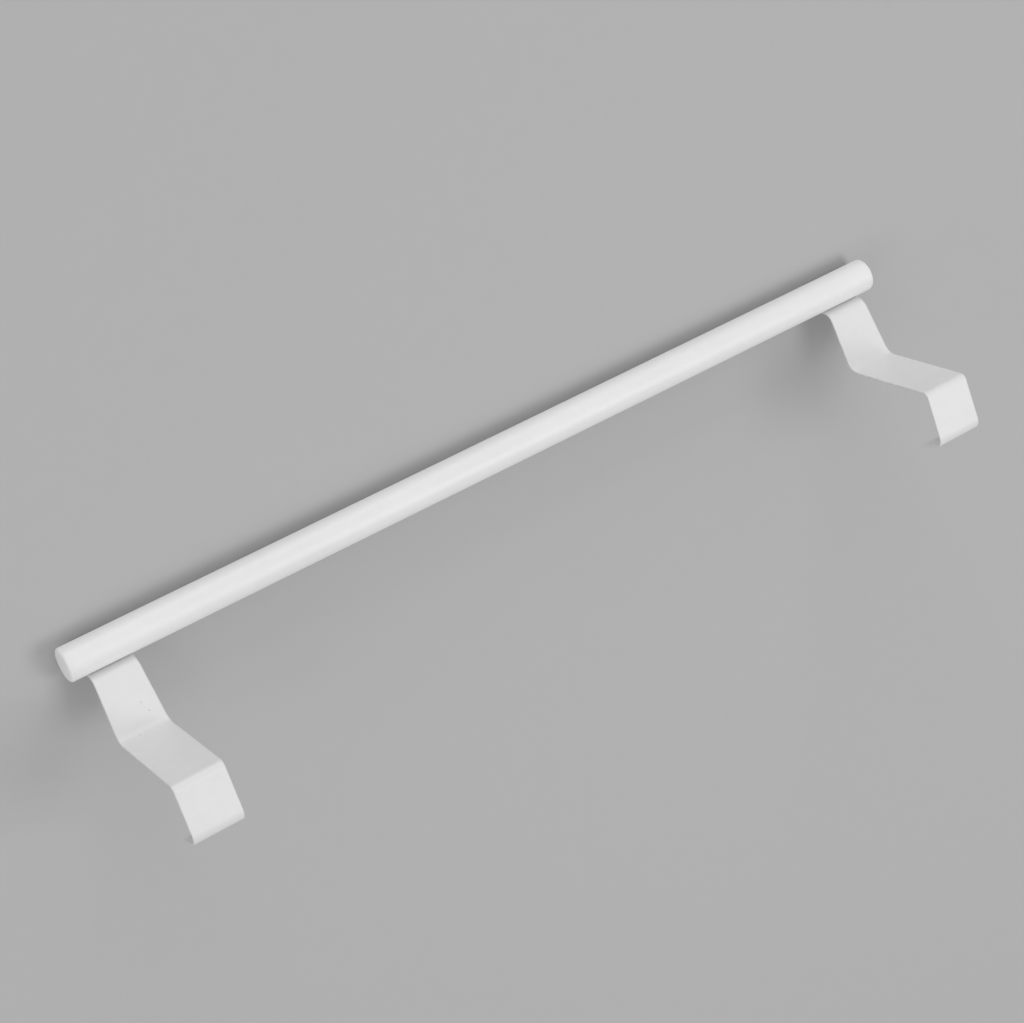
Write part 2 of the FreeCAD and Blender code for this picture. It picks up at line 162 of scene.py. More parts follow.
class Graph:
    """One material's node tree, ending in a Principled shader."""

    def __init__(self, name: str) -> None:
        """Makes an empty material.

        Args:
            name: The material's name.
        """
        self.material = bpy.data.materials.new(name)
        self.material.use_nodes = True
        self.tree = self.material.node_tree
        self.tree.nodes.clear()
        self.output = self.tree.nodes.new("ShaderNodeOutputMaterial")

    def add(
        self,
        kind: str,
        settings: dict[str, Any] | None = None,
        inputs: dict[Any, Any] | None = None,
        out: str | int = 0,
    ) -> Wire:
        """Adds a node, sets its settings and then its sockets, and returns one of its outputs.

        Args:
            kind: The node's type.
            settings: Its properties, by name.
            inputs: Its sockets by name or number, as numbers, colours or wires.
            out: The output wanted.

        Returns:
            That output.
        """
        node = self.tree.nodes.new(kind)
        for key, value in (settings or {}).items():
            setattr(node, key, value)
        for key, value in (inputs or {}).items():
            if isinstance(value, Wire):
                self.tree.links.new(value.socket, node.inputs[key])
            else:
                node.inputs[key].default_value = value
        return Wire(self, node.outputs[out])

    def place(self) -> Wire:
        """The Object coordinates, which are row frame metres."""
        return self.add("ShaderNodeTexCoord", out="Object")

    def attribute(self, name: str) -> Wire:
        """A number that the mesh carries on each vertex."""
        return self.add("ShaderNodeAttribute", {"attribute_name": name}, out="Fac")

    def stretched(self, scale: Sequence[float]) -> Wire:
        """The Object coordinates, scaled.

        Args:
            scale: The factor on each axis.

        Returns:
            The changed coordinates.
        """
        return self.add("ShaderNodeMapping", None, {"Vector": self.place(), "Scale": scale})

    def noise(
        self, scale: float, detail: float = 2.0, rough: float = 0.5, at: Wire | None = None
    ) -> Wire:
        """Noise of about one swell in 1/scale metres.

        Args:
            scale: Swells a metre.
            detail: Octaves.
            rough: How much each octave keeps.
            at: The coordinates, or none for the Object coordinates.

        Returns:
            The noise, near 0.5.
        """
        inputs = {"Vector": at or self.place(), "Scale": scale, "Detail": detail, "Roughness": rough}
        return self.add("ShaderNodeTexNoise", {"noise_dimensions": "3D"}, inputs, "Fac")

    def blend(self, factor: Wire, one: Any, two: Any) -> Wire:
        """A colour between two others.

        Args:
            factor: 0 for the first and 1 for the second.
            one: The first colour, or a wire.
            two: The second colour, or a wire.

        Returns:
            The mixed colour.
        """
        settings = {"data_type": "RGBA", "blend_type": "MIX"}
        return self.add("ShaderNodeMix", settings, {0: factor, 6: one, 7: two}, 2)

    def bump(self, height: Wire, strength: float, distance: float, under: Wire | None = None) -> Wire:
        """A normal that follows a height.

        Args:
            height: The height, in units of distance.
            strength: How much of it shows.
            distance: The height of 1, in metres.
            under: A coarser normal that this one adds to.

        Returns:
            The normal.
        """
        inputs: dict[Any, Any] = {"Height": height, "Strength": strength, "Distance": distance}
        if under is not None:
            inputs["Normal"] = under
        return self.add("ShaderNodeBump", None, inputs)

    def finish(self, **sockets: Any) -> bpy.types.Material:
        """Ends the graph in a Principled shader.

        Args:
            sockets: Its sockets, with underscores for spaces.

        Returns:
            The material.
        """
        named = {key.replace("_", " "): value for key, value in sockets.items()}
        shader = self.add("ShaderNodeBsdfPrincipled", None, named, "BSDF")
        self.tree.links.new(shader.socket, self.output.inputs["Surface"])
        return self.material


def grey(level: float, warm: float = 0.0) -> tuple[float, float, float, float]:
    """A neutral colour, made a little warmer or cooler.

    Args:
        level: The linear level.
        warm: What is added to red and taken from blue.

    Returns:
        The colour with full alpha.
    """
    return (level + warm, level, level - warm, 1.0)


# --- Finishes ---


@dataclass(frozen=True)
class Chip:
    """A tiny dark chip in a coat, at a place in the row frame."""

    x: float
    y: float
    z: float
    radius: float
    core: float = 0.45

    def mark(self, graph: Graph, ragged: Wire) -> Wire:
        """Marks the chip, with a ragged outline.

        Args:
            graph: The material's graph.
            ragged: What is added to the distance from the chip's middle, in metres.

        Returns:
            1 in the chip and 0 elsewhere.
        """
        inputs = {0: graph.place(), 1: (self.x, self.y, self.z)}
        away = graph.add("ShaderNodeVectorMath", {"operation": "DISTANCE"}, inputs, "Value")
        return (away + ragged).smooth(self.radius, self.radius * self.core)


@dataclass(frozen=True)
class PowderCoat:
    """Satin white powder coat: a fine orange peel over steel, thin and a little grey on the edges."""

    name: str
    chips: tuple[Chip, ...] = ()
    white: float = 0.84
    cloud: float = 0.035
    cloud_per_metre: float = 26.0
    cloud_share: float = 0.7
    mottle_per_metre: float = 210.0
    mottle_share: float = 0.3
    edge_grey: float = 0.66
    roughness: float = 0.42
    peel_per_metre: float = 620.0
    peel_height: float = 0.000035
    grit_per_metre: float = 5200.0
    grit_height: float = 0.000006
    ragged_per_metre: float = 1500.0
    ragged_reach: float = 0.5 * MM
    chip_cover: float = 0.8
    chip_grey: float = 0.3
    chip_depth: float = 0.0001
    ior: float = 1.5

    def material(self) -> bpy.types.Material:
        """Builds the material.

        Returns:
            The material.
        """
        graph = Graph(self.name)
        edge = graph.attribute("thin_coat")
        cloud = graph.noise(self.cloud_per_metre, detail=3.0, rough=0.55)
        mottle = graph.noise(self.mottle_per_metre)
        tone = cloud.smooth(0.25, 0.75) * self.cloud_share
        tone = tone + mottle.smooth(0.3, 0.7) * self.mottle_share
        dull = grey(self.white - self.cloud, warm=0.001)
        colour = graph.blend(tone, dull, grey(self.white, warm=0.0005))
        worn = edge * mottle.smooth(0.2, 0.6)
        colour = graph.blend(worn, colour, grey(self.edge_grey, warm=0.003))
        peel = graph.noise(self.peel_per_metre, rough=0.4)
        grit = graph.noise(self.grit_per_metre, detail=1.0)
        roughness = self.roughness + (grit - 0.5) * 0.12 + (cloud - 0.5) * 0.1 + edge * 0.05
        normal = graph.bump(peel, strength=0.55, distance=self.peel_height)
        normal = graph.bump(grit, strength=0.25, distance=self.grit_height, under=normal)
        if self.chips:
            ragged = (graph.noise(self.ragged_per_metre, detail=1.0) - 0.5) * self.ragged_reach
            marks = sum(chip.mark(graph, ragged) for chip in self.chips)
            chipped = grey(self.chip_grey, warm=0.01)
            colour = graph.blend(marks * self.chip_cover, colour, chipped)
            normal = graph.bump(1.0 - marks, 0.5, self.chip_depth, normal)
        return graph.finish(
            Base_Color=colour, Roughness=roughness, Normal=normal, IOR=self.ior
        )


@dataclass(frozen=True)
class ZincPlate:
    """Bright zinc on steel: fine turned marks and a cloudy bluish grey."""

    name: str
    level: float = 0.62
    roughness: float = 0.3
    dark_tint: tuple[float, ...] = (0.78, 0.79, 0.8)
    light_tint: tuple[float, ...] = (1.0, 1.01, 1.03)
    cloud_per_metre: float = 420.0
    marks_per_metre: tuple[float, ...] = (900.0, 900.0, 9000.0)
    mark_height: float = 0.00001

    def material(self) -> bpy.types.Material:
        """Builds the material.

        Returns:
            The material.
        """
        graph = Graph(self.name)
        cloud = graph.noise(self.cloud_per_metre, detail=3.0, rough=0.6)
        turned = graph.noise(1.0, rough=0.6, at=graph.stretched(self.marks_per_metre))
        tints = (self.dark_tint, self.light_tint)
        dark, light = ((*(self.level * part for part in tint), 1.0) for tint in tints)
        colour = graph.blend(cloud.smooth(0.3, 0.7), dark, light)
        roughness = self.roughness + (turned - 0.5) * 0.25 + (cloud - 0.5) * 0.15
        normal = graph.bump(turned, strength=0.3, distance=self.mark_height)
        return graph.finish(Base_Color=colour, Roughness=roughness, Normal=normal, Metallic=1.0)


@dataclass(frozen=True)
class PaleFloor:
    """A plain matt floor with a barely visible grain."""

    name: str
    level: float = 0.50
    grain: float = 0.006
    grain_per_metre: float = 90.0
    roughness: float = 0.85

    def material(self) -> bpy.types.Material:
        """Builds the material.

        Returns:
            The material.
        """
        graph = Graph(self.name)
        grain = graph.noise(self.grain_per_metre, detail=4.0, rough=0.6)
        colour = graph.blend(grain, grey(self.level - self.grain), grey(self.level + self.grain))
        return graph.finish(Base_Color=colour, Roughness=self.roughness)


# --- Meshes ---


def grid_quads(rows: int, columns: int, ring: bool = False) -> Array:
    """The quads of a grid of vertices stored row by row.

    Quad (i, j) joins vertex (i, j), (i, j+1), (i+1, j+1) and (i+1, j).

    Args:
        rows: Rows of vertices.
        columns: Vertices in a row.
        ring: Whether the last column joins the first.

    Returns:
        The quads as (rows - 1, quads a row, 4) vertex numbers.
    """
    i = np.arange(rows - 1)[:, None]
    j = np.arange(columns if ring else columns - 1)[None, :]
    after = (j + 1) % columns
    corners = (i * columns + j, i * columns + after, (i + 1) * columns + after, (i + 1) * columns + j)
    return np.stack(np.broadcast_arrays(*corners), axis=-1)


def band_quads(one: Array, two: Array) -> Array:
    """The quads between two rings of vertices of equal length.

    Args:
        one: Vertex numbers of the first ring.
        two: Vertex numbers of the second ring.

    Returns:
        The quads as (n, 4) vertex numbers.
    """
    return np.stack((one, np.roll(one, -1), np.roll(two, -1), two), axis=-1)


def make_piece(
    name: str,
    points: Array,
    faces: Iterable[Array],
    material: bpy.types.Material,
    coat: Array | None = None,
) -> bpy.types.Object:
    """Makes one closed, smooth mesh object at the origin.

    Args:
        name: The piece's name.
        points: The vertices as (n, 3).
        faces: Arrays of faces, each of (m, 3) or (m, 4) vertex numbers.
        material: Its material.
        coat: How thin the coat is at each vertex, 0 to 1, or none.

    Returns:
        The object.
    """
    mesh = bpy.data.meshes.new(name)
    rows = [row for block in faces for row in np.asarray(block).tolist()]
    mesh.from_pydata(points.tolist(), [], rows)
    mesh.validate()
    thin = mesh.attributes.new("thin_coat", "FLOAT", "POINT")
    values = np.zeros(len(points)) if coat is None else coat
    thin.data.foreach_set("value", values.astype(np.float32))
    mesh.polygons.foreach_set("use_smooth", np.ones(len(mesh.polygons), dtype=bool))
    mesh.materials.append(material)
    mesh.update()
    piece = bpy.data.objects.new(name, mesh)
    bpy.context.scene.collection.objects.link(piece)
    return piece


def attach(piece: bpy.types.Object, node: str) -> bpy.types.Object:
    """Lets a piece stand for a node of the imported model.

    Args:
        piece: The piece.
        node: The node that it replaces.

    Returns:
        The piece.
    """
    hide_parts(node)
    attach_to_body(piece, "root")
    triangles = sum(len(face.vertices) - 2 for face in piece.data.polygons)
    LOG.info("%s stands for %s: %d triangles", piece.name, node, triangles)
    return piece


def punch(across: Array, along: Array, block: float, reach: float, radius: float) -> tuple[Array, Array]:
    """Bends grid lines round a hole, so that a square block of cells becomes the hole's disc.

    With q the larger of |across| and |along| and t = (q - block) / (reach - block), held to 0..1, a
    point moves to t * itself + (1 - t) * radius * its unit vector. At the block's edge it lies on the
    hole's circle, and at the reach it stays where it was.

    Args:
        across: First coordinates, from the hole's centre.
        along: Second coordinates, from the hole's centre.
        block: Half the side of the block that becomes the hole.
        reach: Half the side of the square that is bent.
        radius: The hole's radius.

    Returns:
        The moved coordinates.
    """
    square = np.maximum(np.abs(across), np.abs(along))
    far = np.maximum(np.hypot(across, along), 1e-12)
    t = np.clip((square - block) / (reach - block), 0.0, 1.0)
    t = np.where(square < block - 1e-9, 1.0, t)
    factor = t + (1.0 - t) * radius / far
    return across * factor, along * factor


def block_ring(row: int, column: int, half: int, columns: int, wrap: bool) -> Array:
    """Vertex numbers round a square block of cells, in order.

    Args:
        row: The middle row.
        column: The middle column.
        half: Cells from the middle to the block's edge.
        columns: Vertices in a row.
        wrap: Whether columns wrap round.

    Returns:
        The ring, starting at the lowest row and column.
    """
    steps = np.arange(-half, half)
    full = np.full(2 * half, half)
    rows = np.concatenate((-full, steps, full, -steps)) + row
    cols = np.concatenate((steps, full, -steps, -full)) + column
    return rows * columns + (cols % columns if wrap else cols)


def outside_block(quads: Array, row: int, column: int, half: int, columns: int) -> Array:
    """Which quads of a grid lie outside a square block.

    Args:
        quads: The quads as (rows - 1, n, 4).
        row: The block's middle row.
        column: Its middle column.
        half: Cells from the middle to its edge.
        columns: Quads in a row, for a wrapped grid.

    Returns:
        A mask over (rows - 1, n).
    """
    i = np.arange(quads.shape[0])[:, None]
    j = np.arange(quads.shape[1])[None, :]
    offset = (j - column + half) % columns
    return ~((i >= row - half) & (i < row + half) & (offset < 2 * half))


def revolve(
    profile: Array,
    segments: int,
    shape: Callable[[Array, Array], Array] | None = None,
    ring: bool = False,
) -> tuple[Array, list[Array]]:
    """Turns a profile about its own axis.

    Row i of the grid is the circle of radius r_i at height h_i. The shape function may change the
    radius round the circle. Where the profile starts or ends on the axis, the row is one point there.

    Args:
        profile: (radius, height) pairs, running so that outside is on the right of the way up.
        segments: Vertices round the circle.
        shape: Takes the row numbers and angles, and gives the factor on the radius.
        ring: Whether the profile closes on itself.

    Returns:
        The points as (n, 3) with the axis along Z, and the faces.
    """
    radius, height = profile[:, 0], profile[:, 1]
    angle = np.arange(segments) * TURN / segments
    start = 0 if ring else int(radius[0] < 1e-9)
    stop = len(profile) if ring else len(profile) - int(radius[-1] < 1e-9)
    rows = np.arange(start, stop)
    factor = shape(rows[:, None], angle[None, :]) if shape else np.ones((len(rows), segments))
    r = radius[rows, None] * factor
    z = np.broadcast_to(height[rows, None], r.shape)
    body = np.stack((r * np.cos(angle), r * np.sin(angle), z), axis=-1).reshape(-1, 3)
    quads = grid_quads(len(rows), segments, ring=True)
    faces = [quads.reshape(-1, 4)]
    points = [body]
    last = (len(rows) - 1) * segments + np.arange(segments)
    if ring:
        faces.append(band_quads(last, np.arange(segments)))
        return body, faces
    count = len(body)
    first = np.arange(segments)
    if start:
        points.append(np.array([[0.0, 0.0, height[0]]]))
        faces.append(np.stack((np.full(segments, count), np.roll(first, -1), first), axis=-1))
        count += 1
    if stop < len(profile):
        points.append(np.array([[0.0, 0.0, height[-1]]]))
        faces.append(np.stack((last, np.roll(last, -1), np.full(segments, count)), axis=-1))
    return np.concatenate(points), faces


def arc(centre: Sequence[float], radius: float, start: float, end: float, steps: int) -> Array:
    """Points on an arc of a circle.

    Args:
        centre: The circle's centre.
        radius: Its radius.
        start: First angle, in degrees.
        end: Last angle, in degrees.
        steps: Number of points.

    Returns:
        The points as (steps, 2).
    """
    angle = np.radians(np.linspace(start, end, steps))
    return np.stack((centre[0] + radius * np.cos(angle), centre[1] + radius * np.sin(angle)), axis=-1)


# --- Hooks ---


@dataclass
class BentStrip:
    """One hook: a coated steel strip bent into lip, top, plate, arm, seat wall and foot."""

    side: Side
    centre_x: float
    bar_axis: tuple[float, float]
    material: bpy.types.Material
    width: float = 33.4 * MM
    foot_width: float = 29.8 * MM
    sheet: float = 1.1 * MM
    plate_height: float = 77.5 * MM
    top_length: float = 38.4 * MM
    top_rise: float = 9.3
    lip_length: float = 22.4 * MM
    lip_flare: float = 12.4
    arm_slope: float = 20.4
    taper_start: float = 2.0 * MM
    shoulder_rise: float = 9.3 * MM
    bar_radius: float = 11.1 * MM
    seat_gap: float = 0.15 * MM
    foot_reach: float = 5.8 * MM
    bends: tuple[float, ...] = (6.4 * MM, 3.4 * MM, 8.5 * MM, 8.6 * MM, 5.0 * MM)
    lip_corner: float = 2.6 * MM
    foot_corner: float = 3.0 * MM
    edge_round: float = 0.42 * MM
    skin_ease: float = 0.01 * MM
    hole_radius: float = 2.3 * MM
    row_step: float = 1.4 * MM
    bend_step: float = 3.0
    middle_cells: int = 48
    hole_cells: int = 4

    def face_corners(self) -> Array:
        """Corners of the strip's face in (y, z), from the lip's tip to the foot's end, with sharp bends.

        Returns:
            Seven corners as (7, 2).
        """
        rise, flare = math.radians(self.top_rise), math.radians(self.lip_flare)
        axis_y, axis_z = self.bar_axis
        front = -self.sheet
        top_z = self.sheet * (1.0 - math.sin(rise)) / math.cos(rise)
        seat = self.bar_radius + self.seat_gap
        lip_y = front + self.top_length * math.cos(rise)
        lip_z = top_z + self.top_length * math.sin(rise)
        return np.array(
            [
                (lip_y + self.lip_length * math.sin(flare), lip_z - self.lip_length * math.cos(flare)),
                (lip_y, lip_z),
                (front, top_z),
                (front, top_z - self.plate_height),
                (axis_y + seat, axis_z + self.shoulder_rise),
                (axis_y + seat, axis_z - seat),
                (axis_y - self.foot_reach, axis_z - seat),
            ]
        )

    def middle_path(self) -> tuple[Array, Array, Array]:
        """The line down the middle of the sheet, with round bends.

        Each corner of the middle line is cut by an arc that touches both runs, at the tangent length
        radius * tan(turn / 2) from the corner. The arc's radius is the bend's inside radius plus half a
        sheet. The middle line lies half a sheet to the left of the face.

        Returns:
            The corners' run directions as (6, 2), the lengths of the straight runs as (6,), and the
            turn of each bend in radians as (5,), positive to the left.
        """
        corners = self.face_corners()
        runs = np.diff(corners, axis=0)
        length = np.hypot(runs[:, 0], runs[:, 1])
        way = runs / length[:, None]
        cross = way[:-1, 0] * way[1:, 1] - way[:-1, 1] * way[1:, 0]
        dot = (way[:-1] * way[1:]).sum(axis=1)
        turn = np.arctan2(cross, dot)
        half = self.sheet / 2.0
        radius = np.array(self.bends) + half
        # Half a sheet to the left makes a run shorter at a left turn and longer at a right turn.
        shift = -half * np.tan(turn / 2.0)
        middle = length.copy()
        middle[:-1] += shift
        middle[1:] += shift
        tangent = radius * np.tan(np.abs(turn) / 2.0)
        middle[:-1] -= tangent
        middle[1:] -= tangent
        return way, middle, turn

    def stations(self) -> tuple[Array, Array, Array]:
        """Places along the middle line.

        On a straight run the heading stays and the place moves along it. On a bend the heading turns
        evenly, and the place follows the arc about the bend's centre.

        Returns:
            The distance along the line as (n,), the place as (n, 2), and the left normal as (n, 2).
        """
        way, runs, turn = self.middle_path()
        radius = np.array(self.bends) + self.sheet / 2.0
        start = self.face_corners()[0] + self._left(way[0]) * self.sheet / 2.0
        distance, place, normal = [], [], []
        here, passed = start, 0.0
        for index, run in enumerate(runs):
            steps = self._run_steps(run, index, len(runs) - 1)
            distance.append(passed + steps)
            place.append(here + way[index] * steps[:, None])
            normal.append(np.broadcast_to(self._left(way[index]), (len(steps), 2)))
            here, passed = here + way[index] * run, passed + run
            if index == len(turn):
                break
            angle, r = turn[index], radius[index]
            count = max(6, int(abs(math.degrees(angle)) / self.bend_step))
            part = np.linspace(0.0, 1.0, count + 1)[1:-1]
            sign = math.copysign(1.0, angle)
            left = self._left(way[index]) * sign
            centre = here + left * r
            swing = part * abs(angle)
            place.append(
                centre - left * r * np.cos(swing)[:, None] + way[index] * r * np.sin(swing)[:, None]
            )
            normal.append(sign * (centre - place[-1]) / r)
            distance.append(passed + swing * r)
            here = centre - left * r * math.cos(abs(angle)) + way[index] * r * math.sin(abs(angle))
            passed += abs(angle) * r
        return np.concatenate(distance), np.concatenate(place), np.concatenate(normal)

    @staticmethod
    def _left(way: Array) -> Array:
        """The direction a quarter turn to the left of another."""
        return np.array((-way[1], way[0]))

    def _end_steps(self, corner: float) -> Array:
        """Distances from an end that follow its rounded edge and its rounded corners."""
        fall = 1.0 - np.cos(np.radians(np.linspace(0.0, 90.0, 8)))
        return np.unique(np.round(np.concatenate((self.edge_round * fall, corner * fall)), 8))

    def _run_steps(self, run: float, index: int, last: int) -> Array:
        """Distances along one straight run, closer together at the strip's two ends and at the hole.

        Args:
            run: The run's length.
            index: Which run it is.
            last: The number of the last run.

        Returns:
            The distances, from 0 to the run's length.
        """
        if index == 0:
            ends = self._end_steps(self.lip_corner)
            rest = np.linspace(self.lip_corner, run, 1 + int(run / self.row_step))
            return np.concatenate((ends, rest[1:]))
        if index == last:
            step = self.hole_block() / self.hole_cells
            block = run - self.foot_reach + step * np.arange(-2 * self.hole_cells, self.hole_cells + 1)
            start = np.linspace(0.0, block[0], 4)[:-1]
            ends = run - self._end_steps(self.foot_corner)[::-1]
            return np.concatenate((start, block, ends[ends > block[-1] + step / 4.0]))
        return np.linspace(0.0, run, 2 + int(run / self.row_step))

    def hole_block(self) -> float:
        """Half the side of the block of cells that becomes the hole."""
        return self.hole_cells * (self.foot_width - 2.0 * self.edge_round) / self.middle_cells

    def _ends(self, distance: Array) -> tuple[tuple[Array, float], ...]:
        """The distance from each end, with the radius of that end's corners."""
        return (distance, self.lip_corner), (distance[-1] - distance, self.foot_corner)

    def half_width(self, distance: Array, place: Array) -> tuple[Array, Array]:
        """Half the strip's width, without and with its rounded end corners.

        The width falls in a straight line from just in front of the plate to the seat wall. At an end,
        the corner of radius c takes c - sqrt(c^2 - (c - s)^2) off each side at the distance s from it.

        Args:
            distance: Distances along the strip.
            place: The places in (y, z).

        Returns:
            The plain half width and the half width with rounded corners.
        """
        start = -self.sheet - self.taper_start
        seat = self.bar_axis[0] + self.bar_radius + self.seat_gap
        part = np.clip((start - place[:, 0]) / (start - seat), 0.0, 1.0)
        plain = (self.width + (self.foot_width - self.width) * part) / 2.0
        rounded = plain.copy()
        for away, corner in self._ends(distance):
            lack = np.clip(corner - away, 0.0, corner)
            rounded -= corner - np.sqrt(corner**2 - lack**2)
        return plain, rounded

    def depth_inside(self, x: Array, distance: Array, plain: Array) -> Array:
        """How far each point of the strip lies inside its outline.

        Near an end the outline is a rectangle with corners of radius c. With a and b the distances from
        the corner's centre towards the side and towards the end, the depth is
        c - sqrt(max(a, 0)^2 + max(b, 0)^2) - min(max(a, b), 0).

        Args:
            x: Distances from the strip's middle, as (n, m).
            distance: Distances along the strip, as (n,).
            plain: The plain half widths, as (n,).

        Returns:
            The depth as (n, m).
        """
        depth = np.full(x.shape, np.inf)
        for away, corner in self._ends(distance):
            a = np.abs(x) - plain[:, None] + corner
            b = np.broadcast_to((corner - away)[:, None], x.shape)
            here = corner - np.hypot(np.maximum(a, 0.0), np.maximum(b, 0.0))
            here = here - np.minimum(np.maximum(a, b), 0.0)
            depth = np.minimum(depth, here)
        return np.maximum(depth, 0.0)

    def build(self) -> bpy.types.Object:
        """Makes the hook.

        The strip has two skins on one grid of places along it and across it. A skin lies half a sheet,
        less a hair's ease, from the middle line. Within the edge's radius e of the outline it falls as
        a quarter circle, by e - sqrt(e^2 - (e - depth)^2). A narrow rim joins the skins all round, and
        another lines the screw hole.

        Returns:
            The piece.
        """
        distance, place, normal = self.stations()
        plain, rounded = self.half_width(distance, place)
        e = self.edge_round
        rim = e * (1.0 - np.cos(np.radians(np.linspace(0.0, 90.0, 6))))
        inner = np.linspace(-1.0, 1.0, self.middle_cells + 1)
        left = -rounded[:, None] + rim[None, :-1]
        middle = (rounded - e)[:, None] * inner[None, :]
        x = np.concatenate((left, middle, -left[:, ::-1]), axis=1)
        rows, columns = x.shape
        run = np.broadcast_to(distance[:, None], x.shape).copy()
        depth = self.depth_inside(x, distance, plain)

        foot_start = distance[-1] - self.foot_reach
        hole_row = int(np.argmin(np.abs(distance - foot_start)))
        hole_column = columns // 2
        block = self.hole_block()
        offset = run - foot_start
        moved_x, moved_run = punch(x, offset, block, 2.0 * block, self.hole_radius)
        near = np.abs(offset) < 2.0 * block + 1e-6
        x = np.where(near, moved_x, x)
        shift = np.where(near, moved_run - offset, 0.0)

        lack = np.clip(e - depth, 0.0, e)
        lift = self.sheet / 2.0 - self.skin_ease - (e - np.sqrt(e**2 - lack**2))
        forward = np.stack((normal[:, 1], -normal[:, 0]), axis=-1)
        base = place[:, None, :] + forward[:, None, :] * shift[:, :, None]
        skins = []
        for sign in (1.0, -1.0):
            yz = base + normal[:, None, :] * (sign * lift)[:, :, None]
            grid = np.concatenate((x[:, :, None] + self.centre_x, yz), axis=-1)
            skins.append(grid.reshape(-1, 3))
        points = np.concatenate(skins)

        count = rows * columns
        quads = grid_quads(rows, columns)
        keep = outside_block(quads, hole_row, hole_column, self.hole_cells, columns)
        skin = quads[keep]
        edge = self._outline(rows, columns)
        hole = block_ring(hole_row, hole_column, self.hole_cells, columns, False)
        faces = [
            skin,
            (skin + count)[:, ::-1],
            band_quads(edge + count, edge),
            band_quads(hole, hole + count),
        ]
        coat = np.tile(np.clip(1.0 - depth / (1.6 * e), 0.0, 1.0).reshape(-1), 2)
        piece = make_piece(f"bent_strip_{self.side.word}", points, faces, self.material, coat)
        return attach(piece, f"hook_bracket_{self.side.word}")

    @staticmethod
    def _outline(rows: int, columns: int) -> Array:
        """Vertex numbers round the edge of a grid, in order."""
        grid = np.arange(rows * columns).reshape(rows, columns)
        sides = (grid[0, :-1], grid[:-1, -1], grid[-1, :0:-1], grid[:0:-1, 0])
        return np.concatenate(sides)


# --- Bar ---


